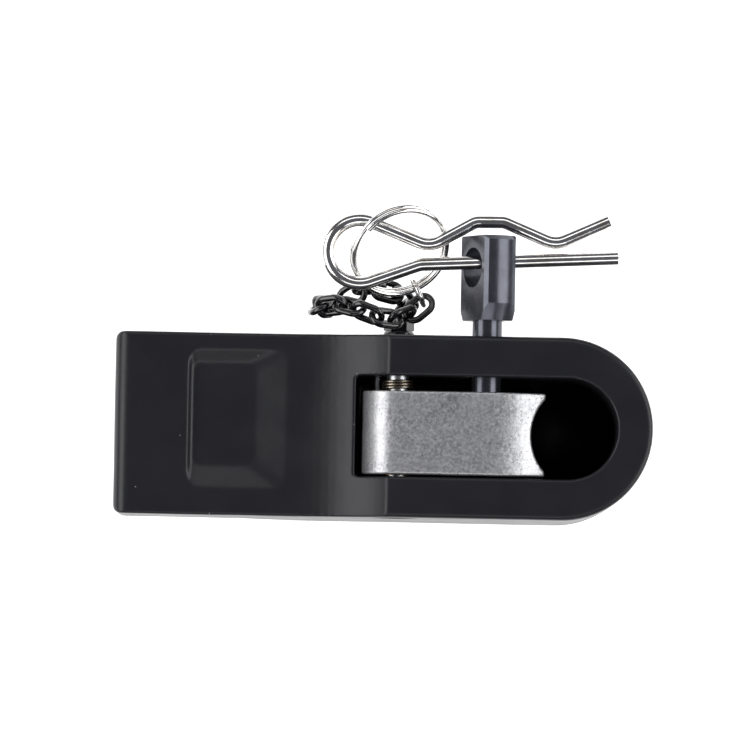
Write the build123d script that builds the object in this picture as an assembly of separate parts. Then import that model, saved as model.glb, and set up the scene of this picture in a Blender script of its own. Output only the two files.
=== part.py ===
from build123d import *
from math import acos, atan2, cos, hypot, radians, sin
import os

os.makedirs("parts", exist_ok=True)

# Weld-on catch hook for a ball of 44 mm with flats 35 mm apart, held down by a sprung pawl.
# +X runs from the shank to the nose, +Y towards the release shaft, +Z out of the mouth.
# The origin is on the flat bottom, straight under the centre of the ball seat.

# ---- hook body ----
HALF_WIDTH = 34.0
HEIGHT = 88.0
BELLY_END_X = -98.0
SHANK_BELLY_X = -120.0
SHANK_BOTTOM = 24.0
SHANK_X = -164.3
SHANK_TOP = 74.0
NOSE_X = 1.5
NOSE_UNDER_RADIUS = 32.0
MOUTH_START_X = -62.5
RISE_START_X = -100.0
RISE_MID_SHARE = (0.6, 0.329)
END_RADIUS = 5.5
CORNER_RADIUS = 3.2
EDGE_RADIUS = 1.8

# ---- mouth and ball seat ----
SLOT_HALF = 18.5
SLOT_BACK_X = -74.4
SLOT_END_X = 3.7
SEAT_RADIUS = 22.4
SEAT_Z = 33.4
CAVITY_RADIUS = 57.5

# ---- shallow recess in the top of the shank ----
POCKET_X = (-136.5, -100.0)
POCKET_Y = (-24.0, 28.0)
POCKET_FLOOR_X = (-135.9, -112.0)
POCKET_FLOOR_Y = (-15.0, 22.5)
POCKET_DEPTH = 2.6
POCKET_CORNER = 4.0

# ---- pawl and its pivot ----
PIVOT_X = -59.2
PIVOT_Z = 74.7
PAWL_Y = (-17.9, 13.2)
PAWL_END_RADIUS = 13.0
PAWL_TIP_X = -4.4
PAWL_NOSE_START_X = -24.0
PAWL_NOSE_DROP = 6.5
PAWL_NOSE_DEPTH = 17.0
PAWL_NOSE_MID_SHARE = 0.27
PAWL_TIP_MID_ANGLE = 8.0
PAWL_CONCAVE_RADIUS = 19.8
PAWL_CONCAVE_X = 10.2
PAWL_CONCAVE_Y = -2.4
BUSH_WALL = 1.5
PIN_RADIUS = 4.0
RUNNING_GAP = 0.05
PIN_CHAMFER = 0.6
PIN_HEAD_RADIUS = 7.0
PIN_HEAD_THICKNESS = 2.5
COUNTERBORE_RADIUS = 8.0
COUNTERBORE_DEPTH = 4.5
CIRCLIP_OUTER = 6.2
CIRCLIP_INNER = 3.5
CIRCLIP_THICKNESS = 1.0
CIRCLIP_MOUTH = 5.0
WASHER_OUTER = 7.0
WASHER_THICKNESS = 0.8
PIN_END_Y = 33.4

# ---- torsion spring ----
SPRING_WIRE = 1.1
SPRING_MEAN_RADIUS = 5.2
SPRING_PITCH = 1.13
SPRING_TURNS = 2.5
SPRING_START_Y = 14.3
SPRING_LEG = 9.0
SPRING_PIN_RADIUS = 1.6
SPRING_PIN_X = -66.7
SPRING_PIN_Z = 67.5
SPRING_PIN_Y = (13.7, 26.0)

# ---- release shaft with its eye ----
SHAFT_X = -26.4
SHAFT_RADIUS = 5.5
SHAFT_INNER_Y = -8.0
SHAFT_SLOT_GAP = 0.6
PAWL_SWING = 44.0
HEAD_RADIUS = 12.2
HEAD_Y = (40.0, 71.4)
HEAD_NECK_RADIUS = 9.8
HEAD_TAPER_LENGTH = 6.2
HEAD_TOP_CHAMFER = 1.5
HEAD_HALF_THICKNESS = 6.6
EYE_TURN = 63.0
EYE_RADIUS = 7.4
EYE_Y = 59.6
FLAT_CHAMFER = 1.2
ROLL_PIN_RADIUS = 2.0
ROLL_PIN_BORE = 0.9
ROLL_PIN_SLIT = 0.6
ROLL_PIN_RUN_OUT = 2.0
ROLL_PIN_Y = 0.0

# ---- spring clip ----
CLIP_WIRE = 2.5
CLIP_LEG_END = (22.1, 64.3)
CLIP_LEG_BEND = (-51.9, 60.5)
CLIP_LOOP = (-74.2, 64.9)
CLIP_LOOP_RADIUS = 11.8
CLIP_VALLEY = (-48.3, 67.3)
CLIP_CREST = ((-31.5, 76.8), (-20.8, 76.9))
CLIP_GRIP = (-1.6, 68.9)
CLIP_FREE_END = (18.6, 78.0)
CLIP_BEND_RADII = (9.0, 5.5, 5.5, 9.0)
CLIP_LEG_RADIUS = 8.0
CLIP_END_CHAMFER = 0.5

# ---- split ring ----
RING_WIRE = 1.05
RING_RADIUS = 18.0
RING_PITCH = 2.3
RING_TURNS = 1.92
RING_CENTRE = (-59.3, 65.7, 70.9)
RING_AXIS_TURN = 32.0
RING_TILT = 37.5
RING_START = 140.0

# ---- chain ----
LINK_WIRE = 1.25
LINK_INNER_LENGTH = 8.6
LINK_INNER_WIDTH = 4.4
LINK_SPACING = 7.3
LINK_COUNT = 14
LINK_START_NORMAL = (0.386, -0.062, -0.782)
CHAIN_ROUTE = [
    (-49.9, 47.8, 64.4),
    (-52.4, 44.4, 64.6),
    (-57.0, 42.2, 65.6),
    (-62.5, 40.5, 69.7),
    (-72.1, 42.8, 70.8),
    (-81.2, 45.2, 68.2),
    (-88.2, 44.5, 63.0),
    (-87.9, 45.1, 54.9),
    (-82.1, 46.6, 48.6),
    (-72.5, 52.0, 51.7),
    (-64.4, 51.8, 49.1),
    (-57.2, 48.9, 47.6),
    (-59.1, 44.5, 40.8),
    (-67.7, 44.7, 37.0),
]
CONNECTOR_WIRE = 0.9
CONNECTOR_RADIUS = 5.6
CONNECTOR_CENTRE = (-52.3, 51.1, 61.3)
CONNECTOR_NORMAL = (0.907, 0.414, -0.013)

# ---- chain anchor on the body ----
ANCHOR_X = -59.0
ANCHOR_Z = 31.0
ANCHOR_SCREW_RADIUS = 3.0
ANCHOR_LINK_PLAY = 0.3
ANCHOR_HEAD_WIDTH = 10.0
ANCHOR_HEAD_HEIGHT = 4.0
ANCHOR_SHANK_LENGTH = 12.0
ANCHOR_WASHER_RADIUS = 6.0
ANCHOR_WASHER_THICKNESS = 1.2


TINY = 0.01


def across(radius, y_low, y_high, x, z):
    """A round bar parallel to Y."""
    length = y_high - y_low
    place = Location((x, (y_low + y_high) / 2, z), (90, 0, 0))
    return place * Cylinder(radius, length)


def block(x_range, y_range, z_range):
    """A plain block from its limits."""
    size = [high - low for low, high in (x_range, y_range, z_range)]
    centre = [(high + low) / 2 for low, high in (x_range, y_range, z_range)]
    return Location(tuple(centre)) * Box(*size)


def xz(x, z):
    return Vector(x, 0, z)


def body_blank():
    """Plan outline and side profile, crossed with each other."""
    plan_edges = [
        Line((SHANK_X, -HALF_WIDTH), (NOSE_X, -HALF_WIDTH)),
        ThreePointArc((NOSE_X, -HALF_WIDTH), (NOSE_X + HALF_WIDTH, 0), (NOSE_X, HALF_WIDTH)),
        Line((NOSE_X, HALF_WIDTH), (SHANK_X, HALF_WIDTH)),
        Line((SHANK_X, HALF_WIDTH), (SHANK_X, -HALF_WIDTH)),
    ]
    plan = extrude(make_face(plan_edges), HEIGHT)
    plan = fillet(plan.edges().filter_by(Axis.Z).group_by(Axis.X)[0], CORNER_RADIUS)
    nose_tip = NOSE_X + HALF_WIDTH
    belly_end = nose_tip - NOSE_UNDER_RADIUS
    diagonal = NOSE_UNDER_RADIUS * cos(radians(45))
    mid_run, mid_rise = RISE_MID_SHARE
    rise_mid_x = RISE_START_X + mid_run * (MOUTH_START_X - RISE_START_X)
    rise_mid_z = SHANK_TOP + mid_rise * (HEIGHT - SHANK_TOP)
    back = SHANK_X
    inset = END_RADIUS * (1 - cos(radians(45)))
    profile_edges = [
        Line(xz(back + END_RADIUS, SHANK_BOTTOM), xz(SHANK_BELLY_X, SHANK_BOTTOM)),
        Line(xz(SHANK_BELLY_X, SHANK_BOTTOM), xz(BELLY_END_X, 0)),
        Line(xz(BELLY_END_X, 0), xz(belly_end, 0)),
        ThreePointArc(
            xz(belly_end, 0),
            xz(belly_end + diagonal, NOSE_UNDER_RADIUS - diagonal),
            xz(nose_tip, NOSE_UNDER_RADIUS),
        ),
        Line(xz(nose_tip, NOSE_UNDER_RADIUS), xz(nose_tip, HEIGHT)),
        Line(xz(nose_tip, HEIGHT), xz(MOUTH_START_X, HEIGHT)),
        ThreePointArc(xz(MOUTH_START_X, HEIGHT), xz(rise_mid_x, rise_mid_z), xz(RISE_START_X, SHANK_TOP)),
        Line(xz(RISE_START_X, SHANK_TOP), xz(back + END_RADIUS, SHANK_TOP)),
        ThreePointArc(
            xz(back + END_RADIUS, SHANK_TOP),
            xz(back + inset, SHANK_TOP - inset),
            xz(back, SHANK_TOP - END_RADIUS),
        ),
        Line(xz(back, SHANK_TOP - END_RADIUS), xz(back, SHANK_BOTTOM + END_RADIUS)),
        ThreePointArc(
            xz(back, SHANK_BOTTOM + END_RADIUS),
            xz(back + inset, SHANK_BOTTOM + inset),
            xz(back + END_RADIUS, SHANK_BOTTOM),
        ),
    ]
    profile = extrude(make_face(profile_edges), HALF_WIDTH * 1.5, both=True)
    return plan & profile


def rounded_body():
    """The blank with rounded edges round the mouth plane, left sharp above the rise."""
    blank = body_blank()
    mouth_edges = [edge for edge in blank.edges() if abs(edge.center().Z - HEIGHT) < TINY]
    rounded = [edge for edge in mouth_edges if abs(edge.center().X - MOUTH_START_X) > TINY]
    return fillet(rounded, EDGE_RADIUS)


def rounded_rectangle(x_range, y_range, z):
    """A flat rectangle at a height, from its limits."""
    size = [high - low for low, high in (x_range, y_range)]
    centre = [(high + low) / 2 for low, high in (x_range, y_range)]
    return Location((*centre, z)) * RectangleRounded(*size, POCKET_CORNER)


def shank_pocket():
    """Shallow recess: a steep step at the back, sloping flanks, a long ramp towards the rise."""
    rim = rounded_rectangle(POCKET_X, POCKET_Y, SHANK_TOP)
    floor = rounded_rectangle(POCKET_FLOOR_X, POCKET_FLOOR_Y, SHANK_TOP - POCKET_DEPTH)
    return loft([floor, rim])


def mouth_cut():
    """Ball mouth, spherical seat and the room in which the pawl swings."""
    slab = block((SLOT_BACK_X, SEAT_RADIUS + 5), (-SLOT_HALF, SLOT_HALF), (0, HEIGHT + 5))
    above = HEIGHT + 5 - SEAT_Z
    mouth = Location((SLOT_END_X, 0, SEAT_Z + above / 2)) * Cylinder(SLOT_HALF, above)
    mouth = mouth + block((PAWL_TIP_X, SLOT_END_X), (-SLOT_HALF, SLOT_HALF), (SEAT_Z, SEAT_Z + above))
    seat = Location((0, 0, SEAT_Z)) * Sphere(SEAT_RADIUS)
    swing = across(CAVITY_RADIUS, -SLOT_HALF, SLOT_HALF, PIVOT_X, PIVOT_Z)
    swing = swing & block((SLOT_BACK_X, 0), (-SLOT_HALF, SLOT_HALF), (0, HEIGHT + 5))
    run = block((SLOT_BACK_X, 0), (-SLOT_HALF, SLOT_HALF), (PIVOT_Z - 2, HEIGHT + 5))
    return (mouth + seat) & slab, swing + run


def shaft_path_slot():
    """Curved slot in the near wall that the release shaft travels in."""
    arm = SHAFT_X - PIVOT_X
    radius = SHAFT_RADIUS + SHAFT_SLOT_GAP
    swept = radians(PAWL_SWING)
    wall = (SLOT_HALF - 1, HALF_WIDTH + 1)
    upper = across(radius, *wall, SHAFT_X, PIVOT_Z)
    lower = across(radius, *wall, PIVOT_X + arm * cos(swept), PIVOT_Z - arm * sin(swept))
    ring = across(arm + radius, *wall, PIVOT_X, PIVOT_Z) - across(arm - radius, *wall, PIVOT_X, PIVOT_Z)
    reach = 2 * arm
    wedge_points = [
        xz(PIVOT_X, PIVOT_Z),
        xz(PIVOT_X + reach, PIVOT_Z),
        xz(PIVOT_X + reach, PIVOT_Z - reach * sin(swept) / cos(swept)),
    ]
    wedge = extrude(make_face(Polyline(*wedge_points, close=True)), -2 * HALF_WIDTH)
    wedge = wedge + extrude(make_face(Polyline(*wedge_points, close=True)), 2 * HALF_WIDTH)
    return upper + lower + (ring & wedge)


def hook_body():
    body = rounded_body()
    seat, swing = mouth_cut()
    body = body - shank_pocket() - seat - swing - shaft_path_slot()
    bore = across(PIN_RADIUS, -HALF_WIDTH - 1, HALF_WIDTH + 1, PIVOT_X, PIVOT_Z)
    deep = COUNTERBORE_DEPTH
    bore_near = across(COUNTERBORE_RADIUS, HALF_WIDTH - deep, HALF_WIDTH + 1, PIVOT_X, PIVOT_Z)
    bore_far = across(COUNTERBORE_RADIUS, -HALF_WIDTH - 1, -HALF_WIDTH + deep, PIVOT_X, PIVOT_Z)
    spring_hole = across(SPRING_PIN_RADIUS, *SPRING_PIN_Y, SPRING_PIN_X, SPRING_PIN_Z)
    screw_hole = across(
        ANCHOR_SCREW_RADIUS, HALF_WIDTH - ANCHOR_SHANK_LENGTH, HALF_WIDTH + 1, ANCHOR_X, ANCHOR_Z
    )
    return body - bore - bore_near - bore_far - spring_hole - screw_hole


def pawl():
    """Solid nose in front, round barrel at the pivot, ball-hugging tip."""
    top = PIVOT_Z + PAWL_END_RADIUS
    bottom = PIVOT_Z - PAWL_END_RADIUS
    tip_arm = PAWL_TIP_X - PIVOT_X
    tip_turn = radians(PAWL_TIP_MID_ANGLE)
    tip_top = top - PAWL_NOSE_DROP
    nose_mid_x = (PAWL_NOSE_START_X + PAWL_TIP_X) / 2
    nose_mid_z = top - PAWL_NOSE_DROP * PAWL_NOSE_MID_SHARE
    tip_bottom = tip_top - PAWL_NOSE_DEPTH
    heel = PIVOT_X + (tip_arm**2 - (PIVOT_Z - tip_bottom) ** 2) ** 0.5
    edges = [
        Line(xz(PIVOT_X, top), xz(PAWL_NOSE_START_X, top)),
        ThreePointArc(xz(PAWL_NOSE_START_X, top), xz(nose_mid_x, nose_mid_z), xz(PAWL_TIP_X, tip_top)),
        Line(xz(PAWL_TIP_X, tip_top), xz(PAWL_TIP_X, PIVOT_Z)),
        ThreePointArc(
            xz(PAWL_TIP_X, PIVOT_Z),
            xz(PIVOT_X + tip_arm * cos(tip_turn), PIVOT_Z - tip_arm * sin(tip_turn)),
            xz(heel, tip_bottom),
        ),
        Line(xz(heel, tip_bottom), xz(PAWL_NOSE_START_X, tip_bottom)),
        Line(xz(PAWL_NOSE_START_X, tip_bottom), xz(PIVOT_X, bottom)),
        ThreePointArc(xz(PIVOT_X, bottom), xz(PIVOT_X - PAWL_END_RADIUS, PIVOT_Z), xz(PIVOT_X, top)),
    ]
    side = make_face(edges)
    width = PAWL_Y[1] - PAWL_Y[0]
    solid = extrude(side, width / 2, both=True)
    solid = Location((0, (PAWL_Y[0] + PAWL_Y[1]) / 2, 0)) * solid
    concave = Location((PAWL_CONCAVE_X, PAWL_CONCAVE_Y, PIVOT_Z)) * Cylinder(PAWL_CONCAVE_RADIUS, HEIGHT)
    solid = solid - concave
    bush_hole = across(PIN_RADIUS + BUSH_WALL, -HALF_WIDTH, HALF_WIDTH, PIVOT_X, PIVOT_Z)
    shaft_hole = across(SHAFT_RADIUS, SHAFT_INNER_Y, HALF_WIDTH, SHAFT_X, PIVOT_Z)
    return solid - bush_hole - shaft_hole - roll_pin_bar(ROLL_PIN_RADIUS)


def roll_pin_bar(radius):
    """The bar that crosses the pawl and the shaft from underneath."""
    low = PIVOT_Z - PAWL_END_RADIUS + PAWL_NOSE_DROP - PAWL_NOSE_DEPTH
    high = PIVOT_Z + SHAFT_RADIUS + ROLL_PIN_RUN_OUT
    place = Location((SHAFT_X, ROLL_PIN_Y, (low + high) / 2))
    return place * Cylinder(radius, high - low)


def roll_pin():
    """Slotted spring pin."""
    slit = Location((SHAFT_X + ROLL_PIN_RADIUS, ROLL_PIN_Y, PIVOT_Z))
    slit = slit * Box(2 * ROLL_PIN_RADIUS, ROLL_PIN_SLIT, HEIGHT)
    return roll_pin_bar(ROLL_PIN_RADIUS) - roll_pin_bar(ROLL_PIN_BORE) - slit


def pivot_bush():
    wall_outer = across(PIN_RADIUS + BUSH_WALL, *PAWL_Y, PIVOT_X, PIVOT_Z)
    return wall_outer - across(PIN_RADIUS + RUNNING_GAP, *PAWL_Y, PIVOT_X, PIVOT_Z)


def clip_groove():
    """Where the retaining clip sits on the pin, from the counterbore's floor outwards."""
    start = HALF_WIDTH - COUNTERBORE_DEPTH + WASHER_THICKNESS
    return start, start + CIRCLIP_THICKNESS


def pivot_pin():
    """Headed pin with a retaining groove."""
    floor = -HALF_WIDTH + COUNTERBORE_DEPTH
    bar = across(PIN_RADIUS, floor, PIN_END_Y, PIVOT_X, PIVOT_Z)
    bar = chamfer(bar.edges().sort_by(Axis.Y)[-1], PIN_CHAMFER)
    head = across(PIN_HEAD_RADIUS, floor - PIN_HEAD_THICKNESS, floor, PIVOT_X, PIVOT_Z)
    head = chamfer(head.edges().sort_by(Axis.Y)[0], PIN_CHAMFER)
    groove = across(PIN_RADIUS + 1, *clip_groove(), PIVOT_X, PIVOT_Z)
    groove = groove - across(CIRCLIP_INNER, *clip_groove(), PIVOT_X, PIVOT_Z)
    return bar + head - groove


def pivot_clip():
    """E-shaped retaining clip."""
    disc = across(CIRCLIP_OUTER, *clip_groove(), PIVOT_X, PIVOT_Z)
    disc = disc - across(CIRCLIP_INNER, *clip_groove(), PIVOT_X, PIVOT_Z)
    mouth = block(
        (PIVOT_X - CIRCLIP_MOUTH / 2, PIVOT_X + CIRCLIP_MOUTH / 2), (0, HALF_WIDTH), (0, PIVOT_Z)
    )
    return disc - mouth


def pivot_washer():
    floor = HALF_WIDTH - COUNTERBORE_DEPTH
    disc = across(WASHER_OUTER, floor, floor + WASHER_THICKNESS, PIVOT_X, PIVOT_Z)
    return disc - across(PIN_RADIUS, floor, floor + WASHER_THICKNESS, PIVOT_X, PIVOT_Z)


def torsion_spring():
    """Close coils round the pivot pin, between the pawl and the near wall."""
    rise = SPRING_PITCH * SPRING_TURNS
    coil = Helix(SPRING_PITCH, rise, SPRING_MEAN_RADIUS)
    profile = Plane(origin=coil @ 0, z_dir=coil % 0) * Circle(SPRING_WIRE / 2)
    spring = sweep(profile, path=coil, is_frenet=True)
    first_leg = Plane(origin=coil @ 0, z_dir=-(coil % 0)) * Circle(SPRING_WIRE / 2)
    last_leg = Plane(origin=coil @ 1, z_dir=coil % 1) * Circle(SPRING_WIRE / 2)
    spring = spring + extrude(first_leg, SPRING_LEG) + extrude(last_leg, SPRING_LEG)
    spring = Location((0, 0, 0), (0, 0, 180)) * spring
    return Location((PIVOT_X, SPRING_START_Y, PIVOT_Z), (-90, 0, 0)) * spring


def spring_pin():
    return across(SPRING_PIN_RADIUS, *SPRING_PIN_Y, SPRING_PIN_X, SPRING_PIN_Z)


def eye_place():
    """Frame at the eye: its Z axis runs along the hole, square to the two flats."""
    turn = radians(EYE_TURN)
    return Plane(origin=(SHAFT_X, EYE_Y, PIVOT_Z), x_dir=(0, 1, 0), z_dir=(-sin(turn), 0, cos(turn)))


def release_shaft():
    """Round shaft with a two-flat eye head."""
    low, high = HEAD_Y
    bar = across(SHAFT_RADIUS, SHAFT_INNER_Y, low, SHAFT_X, PIVOT_Z)
    outline = Polyline(
        (0, low),
        (HEAD_NECK_RADIUS, low),
        (HEAD_RADIUS, low + HEAD_TAPER_LENGTH),
        (HEAD_RADIUS, high - HEAD_TOP_CHAMFER),
        (HEAD_RADIUS - HEAD_TOP_CHAMFER, high),
        (0, high),
        close=True,
    )
    head = revolve(make_face(outline), Axis.Y)
    head = Location((SHAFT_X, 0, PIVOT_Z)) * head
    side = 4 * HEAD_RADIUS
    flats = eye_place() * Box(2 * side, side, 2 * HEAD_HALF_THICKNESS)
    head = head & flats
    flat_edges = [edge for edge in head.edges() if abs(edge.tangent_at(0.5).Y) > 0.99]
    head = chamfer(flat_edges, FLAT_CHAMFER)
    hole = eye_place() * Cylinder(EYE_RADIUS, side)
    shaft = head + bar - hole
    return shaft - roll_pin_bar(ROLL_PIN_RADIUS)


def tangent_point(centre, radius, point, side):
    """Where the line from a point touches a circle, on the side +1 or -1."""
    dx, dy = point[0] - centre[0], point[1] - centre[1]
    angle = atan2(dy, dx) + side * acos(radius / hypot(dx, dy))
    return (centre[0] + radius * cos(angle), centre[1] + radius * sin(angle))


def spring_clip():
    """R-shaped wire clip: a straight leg, a loop, and a waved leg that grips the head."""
    leg_touch = tangent_point(CLIP_LOOP, CLIP_LOOP_RADIUS, CLIP_LEG_BEND, -1)
    wave_touch = tangent_point(CLIP_LOOP, CLIP_LOOP_RADIUS, CLIP_VALLEY, 1)
    leg = FilletPolyline(CLIP_LEG_END, CLIP_LEG_BEND, leg_touch, radius=CLIP_LEG_RADIUS)
    loop_back = (CLIP_LOOP[0] - CLIP_LOOP_RADIUS, CLIP_LOOP[1])
    loop = ThreePointArc(leg_touch, loop_back, wave_touch)
    wave_points = [wave_touch, CLIP_VALLEY, *CLIP_CREST, CLIP_GRIP, CLIP_FREE_END]
    wave = FilletPolyline(*wave_points, radius=list(CLIP_BEND_RADII))
    path = Wire(leg.edges() + loop.edges() + wave.edges())
    start = Vector(*CLIP_LEG_END)
    onward = Vector(*CLIP_LEG_BEND) - start
    profile = Plane(origin=start, z_dir=onward) * Circle(CLIP_WIRE)
    wire = sweep(profile, path=path)
    ends = [edge for edge in wire.edges().filter_by(GeomType.CIRCLE) if is_end_edge(edge)]
    wire = chamfer(ends, CLIP_END_CHAMFER)
    return Location((0, 0, PIVOT_Z)) * wire


def is_end_edge(edge):
    """Whether a round edge belongs to one of the clip's two cut ends."""
    centre = edge.arc_center
    ends = [Vector(*CLIP_LEG_END), Vector(*CLIP_FREE_END)]
    return min((centre - end).length for end in ends) < TINY


def ring_plane():
    """The ring leans through the clip's loop."""
    turn = radians(RING_AXIS_TURN)
    lean = radians(RING_TILT)
    along = Vector(cos(turn), sin(turn), 0)
    normal = Vector(sin(lean) * sin(turn), -sin(lean) * cos(turn), cos(lean))
    return Plane(origin=RING_CENTRE, x_dir=along, z_dir=normal)


def split_ring():
    """Two close turns of round wire."""
    coil = Helix(RING_PITCH, RING_PITCH * RING_TURNS, RING_RADIUS)
    profile = Plane(origin=coil @ 0, z_dir=coil % 0) * Circle(RING_WIRE)
    ring = sweep(profile, path=coil, is_frenet=True)
    ring = Location((0, 0, -RING_PITCH * RING_TURNS / 2), (0, 0, RING_START)) * ring
    return ring_plane() * ring


def link():
    """One round-wire link, long along X."""
    bend = LINK_INNER_WIDTH / 2 + LINK_WIRE
    straight = LINK_INNER_LENGTH - LINK_INNER_WIDTH
    centre_line = SlotCenterToCenter(straight, 2 * bend).wire()
    profile = Plane(origin=(0, bend, 0), z_dir=(1, 0, 0)) * Circle(LINK_WIRE)
    return sweep(profile, path=centre_line)


def chain_links():
    """Links at even steps along the bunched route, each turned square to the one before."""
    route = Spline(*CHAIN_ROUTE)
    shape = link()
    carried = Vector(*LINK_START_NORMAL)
    links = []
    for index in range(LINK_COUNT):
        where = (index + 0.5) * LINK_SPACING / route.length
        tangent = route % where
        carried = (carried - tangent * carried.dot(tangent)).normalized()
        normal = tangent.cross(carried) if index % 2 else carried
        links.append(Plane(origin=route @ where, x_dir=tangent, z_dir=normal) * shape)
    return links


def chain_connector():
    """Small open jump ring between the split ring and the first link."""
    place = Plane(origin=CONNECTOR_CENTRE, z_dir=CONNECTOR_NORMAL)
    return place * Torus(CONNECTOR_RADIUS, CONNECTOR_WIRE)


def anchor_washer():
    outer = HALF_WIDTH + ANCHOR_WASHER_THICKNESS
    disc = across(ANCHOR_WASHER_RADIUS, HALF_WIDTH, outer, ANCHOR_X, ANCHOR_Z)
    return disc - across(ANCHOR_SCREW_RADIUS, HALF_WIDTH, outer, ANCHOR_X, ANCHOR_Z)


def anchor_screw():
    """Hexagon-head screw that holds the chain's last link to the wall."""
    seat = HALF_WIDTH + ANCHOR_WASHER_THICKNESS + 2 * LINK_WIRE
    bar = across(ANCHOR_SCREW_RADIUS, HALF_WIDTH - ANCHOR_SHANK_LENGTH, seat, ANCHOR_X, ANCHOR_Z)
    hexagon = RegularPolygon(ANCHOR_HEAD_WIDTH / 2, 6, major_radius=False)
    head = extrude(hexagon, ANCHOR_HEAD_HEIGHT)
    return bar + Location((ANCHOR_X, seat, ANCHOR_Z), (-90, 0, 0)) * head


def anchor_link():
    """Last link, round, held under the screw's head."""
    middle = HALF_WIDTH + ANCHOR_WASHER_THICKNESS + LINK_WIRE
    radius = ANCHOR_SCREW_RADIUS + LINK_WIRE + ANCHOR_LINK_PLAY
    place = Location((ANCHOR_X, middle, ANCHOR_Z), (90, 0, 0))
    return place * Torus(radius, LINK_WIRE)


def export(shape, node):
    export_step(shape, f"parts/{node}.step")


export(hook_body(), "hook_body")
export(pawl(), "pawl")
export(pivot_bush(), "pivot_bush")
export(pivot_pin(), "pivot_pin")
export(pivot_clip(), "pivot_clip")
export(pivot_washer(), "pivot_washer")
export(torsion_spring(), "torsion_spring")
export(spring_pin(), "spring_pin")
export(release_shaft(), "release_shaft")
export(roll_pin(), "roll_pin")
export(spring_clip(), "spring_clip")
export(split_ring(), "split_ring")
export(chain_connector(), "chain_connector")
for number, shape in enumerate(chain_links(), start=1):
    export(shape, f"chain_link_{number:02d}")
export(anchor_link(), "anchor_link")
export(anchor_washer(), "anchor_washer")
export(anchor_screw(), "anchor_screw")
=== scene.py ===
import math

import bmesh
import bpy
from mathutils import Matrix, Vector, noise


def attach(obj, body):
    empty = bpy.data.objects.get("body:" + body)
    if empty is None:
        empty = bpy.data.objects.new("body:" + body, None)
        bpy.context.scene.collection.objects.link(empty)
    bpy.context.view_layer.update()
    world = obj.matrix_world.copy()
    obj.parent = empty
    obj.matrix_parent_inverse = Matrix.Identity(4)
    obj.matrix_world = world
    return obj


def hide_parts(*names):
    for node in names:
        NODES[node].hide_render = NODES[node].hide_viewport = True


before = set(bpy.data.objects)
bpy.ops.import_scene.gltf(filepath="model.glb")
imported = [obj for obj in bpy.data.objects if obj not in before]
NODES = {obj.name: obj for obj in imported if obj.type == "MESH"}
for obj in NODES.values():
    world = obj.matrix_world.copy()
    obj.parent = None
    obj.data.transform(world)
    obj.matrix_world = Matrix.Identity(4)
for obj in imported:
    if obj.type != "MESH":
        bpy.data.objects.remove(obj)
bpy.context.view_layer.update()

MILLIMETRE = 0.001

# ---- viewpoint: straight onto the mouth, leaning a little from the side opposite the shaft ----
VIEW_TARGET = Vector((-0.0677, 0.0189, 0.080))
VIEW_DISTANCE = 2.6
VIEW_LEAN = math.radians(2.4)
VIEW_ROLL = math.radians(1.1)
VIEW_WIDTH = 0.2775
SENSOR_WIDTH = 36.0

# ---- studio ----
SOFTBOX_ANGLE = math.radians(55)
SOFTBOX_DISTANCE = 1.1
SOFTBOX_SIZE = (0.72, 1.3)
SOFTBOX_POWER = 10.0
FILL_ANGLE = math.radians(38)
FILL_SIZE = (0.9, 0.3)
FILL_POWER = 1.6
WORLD_GREY = (0.11, 0.114, 0.128, 1.0)
FLOOR_SIZE = 3.0
FLOOR_GREY = (0.85, 0.85, 0.85)
FLOOR_ROUGHNESS = 0.9
FLOOR_GLOW = 0.75

# ---- cast and forged surfaces ----
BODY_VOXEL = 0.7 * MILLIMETRE
BODY_SMOOTH_STEPS = 5
PAWL_VOXEL = 0.45 * MILLIMETRE
PAWL_SMOOTH_STEPS = 14
SMOOTH_SHARE = 0.5
WELD_DISTANCE = 0.001 * MILLIMETRE
# unevenness of the skin, as layers of (feature size, height)
BODY_WAVES = [(26 * MILLIMETRE, 0.10 * MILLIMETRE), (7 * MILLIMETRE, 0.03 * MILLIMETRE)]
PAWL_WAVES = [(6 * MILLIMETRE, 0.06 * MILLIMETRE), (1.6 * MILLIMETRE, 0.03 * MILLIMETRE)]

# ---- parts that share a finish ----
ANCHOR = ("anchor_link", "anchor_washer", "anchor_screw")
BRIGHT_WIRE = ("spring_clip", "split_ring", "chain_connector")
ZINC_PLATED = ("pivot_pin", "pivot_washer", "spring_pin")
SPRING_STEEL = ("torsion_spring", "pivot_clip", "roll_pin")

BLACK = (0, 0, 0)
WHITE = (1, 1, 1)


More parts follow.
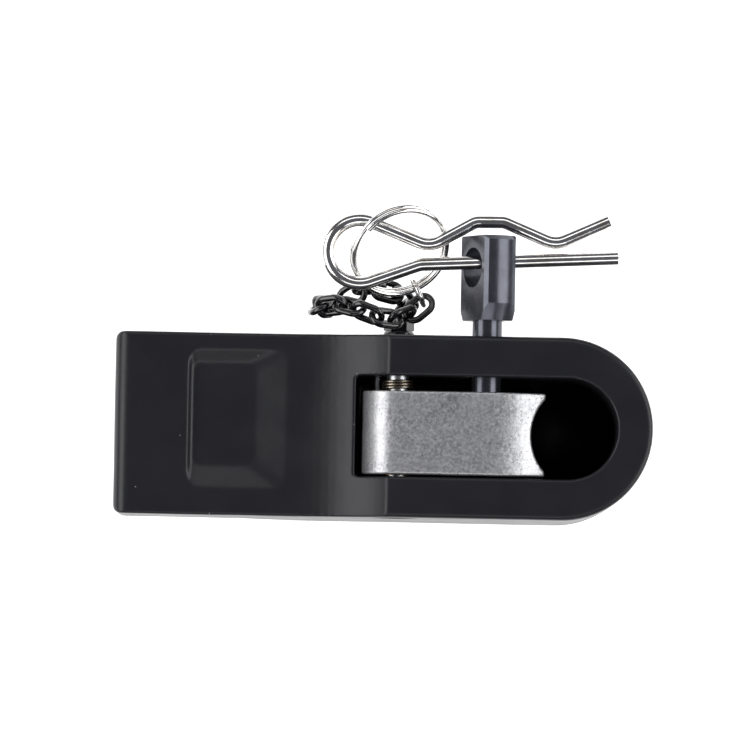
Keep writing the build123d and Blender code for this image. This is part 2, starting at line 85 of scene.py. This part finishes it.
class Look:
    """A Principled material whose textures are measured in metres on the object itself."""

    def __init__(self, name, colour, roughness, metallic=0.0):
        self.material = bpy.data.materials.new(name)
        self.material.use_nodes = True
        self.material.diffuse_color = (*colour, 1.0)
        self.tree = self.material.node_tree
        self.shader = self.tree.nodes["Principled BSDF"]
        self.place = self.add("ShaderNodeTexCoord").outputs["Object"]
        self.set("Base Color", (*colour, 1.0))
        self.set("Roughness", roughness)
        self.set("Metallic", metallic)

    def add(self, kind):
        return self.tree.nodes.new(kind)

    def set(self, socket, value):
        self.shader.inputs[socket].default_value = value

    def join(self, output, target):
        self.tree.links.new(output, target)

    def feed(self, output, socket):
        self.join(output, self.shader.inputs[socket])

    def stretched(self, scale):
        mapping = self.add("ShaderNodeMapping")
        mapping.inputs["Scale"].default_value = scale
        self.join(self.place, mapping.inputs["Vector"])
        return mapping.outputs["Vector"]

    def noise(self, grain, detail, stretch=(1, 1, 1)):
        """Soft noise whose features are about grain metres across."""
        texture = self.add("ShaderNodeTexNoise")
        texture.inputs["Scale"].default_value = 1.0 / grain
        texture.inputs["Detail"].default_value = detail
        self.join(self.stretched(stretch), texture.inputs["Vector"])
        return texture.outputs[0]

    def cells(self, grain):
        """Distance to scattered points about grain metres apart."""
        texture = self.add("ShaderNodeTexVoronoi")
        texture.inputs["Scale"].default_value = 1.0 / grain
        self.join(self.place, texture.inputs["Vector"])
        return texture.outputs["Distance"]

    def ramp(self, value, low, high, first=BLACK, last=WHITE):
        """Blends from first to last as value goes from low to high."""
        node = self.add("ShaderNodeValToRGB")
        node.color_ramp.elements[0].position = low
        node.color_ramp.elements[1].position = high
        node.color_ramp.elements[0].color = (*first, 1.0)
        node.color_ramp.elements[1].color = (*last, 1.0)
        self.join(value, node.inputs["Fac"])
        return node.outputs["Color"]

    def fade(self, value, low, high):
        """Full below low, nothing above high."""
        return self.ramp(value, low, high, WHITE, BLACK)

    def blend(self, amount, first, last):
        """Mixes two colours, each a socket or a fixed colour."""
        node = self.add("ShaderNodeMix")
        node.data_type = "RGBA"
        self.join(amount, node.inputs[0])
        for value, socket in ((first, node.inputs[6]), (last, node.inputs[7])):
            if isinstance(value, tuple):
                socket.default_value = (*value, 1.0)
            else:
                self.join(value, socket)
        return node.outputs[2]

    def rough(self, value, low, high):
        """Varies the roughness from low to high as value goes from 0 to 1."""
        node = self.add("ShaderNodeMapRange")
        node.inputs["To Min"].default_value = low
        node.inputs["To Max"].default_value = high
        self.join(value, node.inputs["Value"])
        self.feed(node.outputs["Result"], "Roughness")

    def bump(self, height, depth, strength):
        """Stacks another layer of relief, depth metres deep."""
        node = self.add("ShaderNodeBump")
        node.inputs["Distance"].default_value = depth
        node.inputs["Strength"].default_value = strength
        self.join(height, node.inputs["Height"])
        normal = self.shader.inputs["Normal"]
        if normal.links:
            self.join(normal.links[0].from_socket, node.inputs["Normal"])
        self.join(node.outputs["Normal"], normal)


def coated_look():
    """Satin black coat over a forging: orange peel, duller patches and dust specks."""
    look = Look("black_coat", (0.009, 0.009, 0.011), roughness=0.3)
    look.set("Specular IOR Level", 0.32)
    specks = look.fade(look.cells(grain=4.5 * MILLIMETRE), low=0.030, high=0.055)
    patches = look.noise(grain=30 * MILLIMETRE, detail=5)
    tone = look.blend(patches, first=(0.009, 0.009, 0.011), last=(0.016, 0.016, 0.0195))
    rare = look.ramp(look.noise(grain=9 * MILLIMETRE, detail=1), low=0.60, high=0.64)
    dust = look.blend(rare, first=BLACK, last=specks)
    look.feed(look.blend(dust, first=tone, last=(0.28, 0.28, 0.30)), "Base Color")
    look.rough(look.noise(grain=14 * MILLIMETRE, detail=6), low=0.24, high=0.42)
    peel = look.noise(grain=2.2 * MILLIMETRE, detail=3)
    look.bump(peel, depth=0.06 * MILLIMETRE, strength=0.55)
    fine = look.noise(grain=0.5 * MILLIMETRE, detail=2)
    look.bump(fine, depth=0.012 * MILLIMETRE, strength=0.5)
    return look.material


def cast_look():
    """Bare blasted casting: mottled grey with fine pits and a few dark nicks."""
    look = Look("cast_steel", (0.5, 0.5, 0.49), roughness=0.45, metallic=0.8)
    mottle = look.noise(grain=1.1 * MILLIMETRE, detail=6)
    clouds = look.noise(grain=11 * MILLIMETRE, detail=5)
    spread = look.ramp(mottle, low=0.35, high=0.68)
    base = look.blend(spread, first=(0.30, 0.30, 0.31), last=(0.56, 0.56, 0.57))
    cover = look.ramp(clouds, low=0.35, high=0.75)
    base = look.blend(cover, first=base, last=(0.52, 0.52, 0.53))
    pits = look.fade(look.noise(grain=0.55 * MILLIMETRE, detail=4), low=0.27, high=0.40)
    base = look.blend(pits, first=base, last=(0.10, 0.095, 0.085))
    streaks = look.noise(grain=3.5 * MILLIMETRE, detail=2, stretch=(1.0, 5.0, 1.0))
    nicks = look.fade(streaks, low=0.19, high=0.24)
    look.feed(look.blend(nicks, first=base, last=(0.06, 0.055, 0.05)), "Base Color")
    look.rough(mottle, low=0.26, high=0.50)
    grit = look.noise(grain=0.9 * MILLIMETRE, detail=5)
    look.bump(grit, depth=0.10 * MILLIMETRE, strength=0.5)
    look.bump(pits, depth=-0.05 * MILLIMETRE, strength=0.6)
    return look.material


def blued_look():
    """Black-oxide steel with a fine grain."""
    look = Look("dark_steel", (0.05, 0.05, 0.058), roughness=0.3, metallic=0.75)
    clouds = look.noise(grain=5 * MILLIMETRE, detail=5)
    tone = look.blend(clouds, first=(0.045, 0.046, 0.056), last=(0.12, 0.125, 0.15))
    look.feed(tone, "Base Color")
    look.rough(look.noise(grain=1.6 * MILLIMETRE, detail=5), low=0.16, high=0.30)
    grain = look.noise(grain=0.35 * MILLIMETRE, detail=3)
    look.bump(grain, depth=0.02 * MILLIMETRE, strength=0.5)
    return look.material


def bright_look():
    """Bright plated wire with drawing lines and slight yellowing."""
    look = Look("bright_wire", (0.80, 0.79, 0.78), roughness=0.16, metallic=1.0)
    stains = look.ramp(look.noise(grain=6 * MILLIMETRE, detail=5), low=0.45, high=0.75)
    tone = look.blend(stains, first=(0.83, 0.82, 0.81), last=(0.62, 0.58, 0.53))
    look.feed(tone, "Base Color")
    look.rough(look.noise(grain=2 * MILLIMETRE, detail=4), low=0.06, high=0.20)
    lines = look.noise(grain=0.4 * MILLIMETRE, detail=3, stretch=(0.12, 1.0, 1.0))
    look.bump(lines, depth=0.015 * MILLIMETRE, strength=0.4)
    return look.material


def chain_look():
    """Thick gloss black with small worn spots."""
    look = Look("black_chain", (0.004, 0.004, 0.005), roughness=0.14)
    look.set("Coat Weight", 0.6)
    look.set("Coat Roughness", 0.08)
    wear = look.ramp(look.noise(grain=1.5 * MILLIMETRE, detail=4), low=0.66, high=0.74)
    tone = look.blend(wear, first=(0.004, 0.004, 0.005), last=(0.03, 0.03, 0.032))
    look.feed(tone, "Base Color")
    look.rough(look.noise(grain=1.2 * MILLIMETRE, detail=3), low=0.10, high=0.30)
    waves = look.noise(grain=0.8 * MILLIMETRE, detail=2)
    look.bump(waves, depth=0.03 * MILLIMETRE, strength=0.5)
    return look.material


def metal_look(name, dark, light, roughness):
    """Plain machined or plated metal, varied between two tones."""
    look = Look(name, light, roughness, metallic=1.0)
    spread = look.ramp(look.noise(grain=2.5 * MILLIMETRE, detail=5), low=0.3, high=0.7)
    look.feed(look.blend(spread, first=dark, last=light), "Base Color")
    grain = look.noise(grain=0.7 * MILLIMETRE, detail=4)
    look.rough(grain, low=roughness * 0.7, high=roughness * 1.4)
    look.bump(grain, depth=0.02 * MILLIMETRE, strength=0.4)
    return look.material


def applied(piece, modifiers):
    """Bakes modifiers into the piece's own mesh."""
    for kind, settings in modifiers:
        modifier = piece.modifiers.new(kind.lower(), kind)
        for key, value in settings.items():
            setattr(modifier, key, value)
    graph = bpy.context.evaluated_depsgraph_get()
    graph.update()
    mesh = bpy.data.meshes.new_from_object(piece.evaluated_get(graph))
    piece.modifiers.clear()
    piece.data = mesh


def softened(node, name, voxel, steps):
    """The CAD shape with the rounded edges and closed skin of a casting."""
    mesh = NODES[node].data.copy()
    work = bmesh.new()
    work.from_mesh(mesh)
    bmesh.ops.remove_doubles(work, verts=work.verts, dist=WELD_DISTANCE)
    work.to_mesh(mesh)
    work.free()
    piece = bpy.data.objects.new(name, mesh)
    bpy.context.scene.collection.objects.link(piece)
    remesh = ("REMESH", {"mode": "VOXEL", "voxel_size": voxel, "use_smooth_shade": True})
    smooth = ("SMOOTH", {"factor": SMOOTH_SHARE, "iterations": steps})
    applied(piece, [remesh, smooth])
    return piece


def hammered(piece, layers):
    """Moves the skin along its normals by layers of noise, always inwards of where it was."""
    mesh = piece.data
    normals = [vertex.normal.copy() for vertex in mesh.vertices]
    tallest = sum(height for _, height in layers)
    for vertex, normal in zip(mesh.vertices, normals):
        push = sum(noise.noise(vertex.co / size) * height for size, height in layers)
        vertex.co += normal * (push - tallest)


def dress(piece, material):
    """Gives a new piece its one material and smooth shading."""
    piece.data.materials.clear()
    piece.data.materials.append(material)
    for polygon in piece.data.polygons:
        polygon.use_smooth = True


def build_body(material):
    piece = softened("hook_body", "body_forging", BODY_VOXEL, BODY_SMOOTH_STEPS)
    hammered(piece, BODY_WAVES)
    dress(piece, material)
    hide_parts("hook_body")
    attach(piece, "hook")


def build_pawl(material):
    piece = softened("pawl", "pawl_casting", PAWL_VOXEL, PAWL_SMOOTH_STEPS)
    hammered(piece, PAWL_WAVES)
    dress(piece, material)
    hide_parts("pawl")
    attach(piece, "pawl")


def assign(material, *names):
    """Gives carried-over nodes their finish."""
    for name in names:
        for slot in NODES[name].material_slots:
            slot.material = material


def finish_nodes():
    """Finishes for every node that keeps its CAD mesh."""
    chain = [name for name in NODES if name.startswith("chain_link_")]
    zinc = metal_look("zinc_steel", (0.42, 0.43, 0.44), (0.66, 0.67, 0.68), roughness=0.32)
    spring = metal_look("spring_steel", (0.20, 0.15, 0.10), (0.50, 0.46, 0.40), roughness=0.28)
    bronze = metal_look("bronze", (0.36, 0.22, 0.10), (0.56, 0.38, 0.18), roughness=0.35)
    assign(chain_look(), *chain, *ANCHOR)
    assign(bright_look(), *BRIGHT_WIRE)
    assign(blued_look(), "release_shaft")
    assign(zinc, *ZINC_PLATED)
    assign(spring, *SPRING_STEEL)
    assign(bronze, "pivot_bush")


def aim(thing, place, direction, up):
    """Stands a camera or light at a place, looking along a direction."""
    back = -direction.normalized()
    across = up.cross(back).normalized()
    top = back.cross(across)
    turn = Matrix((across, top, back)).transposed()
    thing.matrix_world = Matrix.Translation(place) @ turn.to_4x4()


def add_camera():
    data = bpy.data.cameras.new("view")
    data.sensor_width = SENSOR_WIDTH
    data.lens = SENSOR_WIDTH * VIEW_DISTANCE / VIEW_WIDTH
    camera = bpy.data.objects.new("view", data)
    bpy.context.scene.collection.objects.link(camera)
    direction = Vector((0, math.sin(VIEW_LEAN), -math.cos(VIEW_LEAN)))
    up = Vector((-math.sin(VIEW_ROLL), math.cos(VIEW_ROLL), 0))
    aim(camera, VIEW_TARGET - direction * VIEW_DISTANCE, direction, up)
    bpy.context.scene.camera = camera


def add_softbox(name, direction, size, power):
    """A rectangular light that looks back at the object from a direction."""
    data = bpy.data.lights.new(name, "AREA")
    data.shape = "RECTANGLE"
    data.size, data.size_y = size
    data.energy = power
    lamp = bpy.data.objects.new(name, data)
    bpy.context.scene.collection.objects.link(lamp)
    aim(lamp, VIEW_TARGET + direction * SOFTBOX_DISTANCE, -direction, Vector((0, 1, 0)))


def add_lights():
    for name, side in (("left_box", -1), ("right_box", 1)):
        direction = Vector((side * math.sin(SOFTBOX_ANGLE), 0, math.cos(SOFTBOX_ANGLE)))
        add_softbox(name, direction, SOFTBOX_SIZE, SOFTBOX_POWER)
    for name, side in (("front_fill", -1), ("rear_fill", 1)):
        direction = Vector((0, side * math.sin(FILL_ANGLE), math.cos(FILL_ANGLE)))
        add_softbox(name, direction, FILL_SIZE, FILL_POWER)
    world = bpy.data.worlds.new("studio")
    world.use_nodes = True
    world.node_tree.nodes["Background"].inputs["Color"].default_value = WORLD_GREY
    bpy.context.scene.world = world


def add_floor():
    mesh = bpy.data.meshes.new("floor")
    half = FLOOR_SIZE / 2
    corners = [(-half, -half, 0), (half, -half, 0), (half, half, 0), (-half, half, 0)]
    mesh.from_pydata(corners, [], [(0, 1, 2, 3)])
    floor = bpy.data.objects.new("floor", mesh)
    bpy.context.scene.collection.objects.link(floor)
    look = Look("floor", FLOOR_GREY, FLOOR_ROUGHNESS)
    look.set("Emission Color", (*WHITE, 1.0))
    look.set("Emission Strength", FLOOR_GLOW)
    mesh.materials.append(look.material)


def main():
    add_camera()
    add_lights()
    add_floor()
    build_body(coated_look())
    build_pawl(cast_look())
    finish_nodes()
    bpy.context.scene.view_settings.view_transform = "Standard"


main()
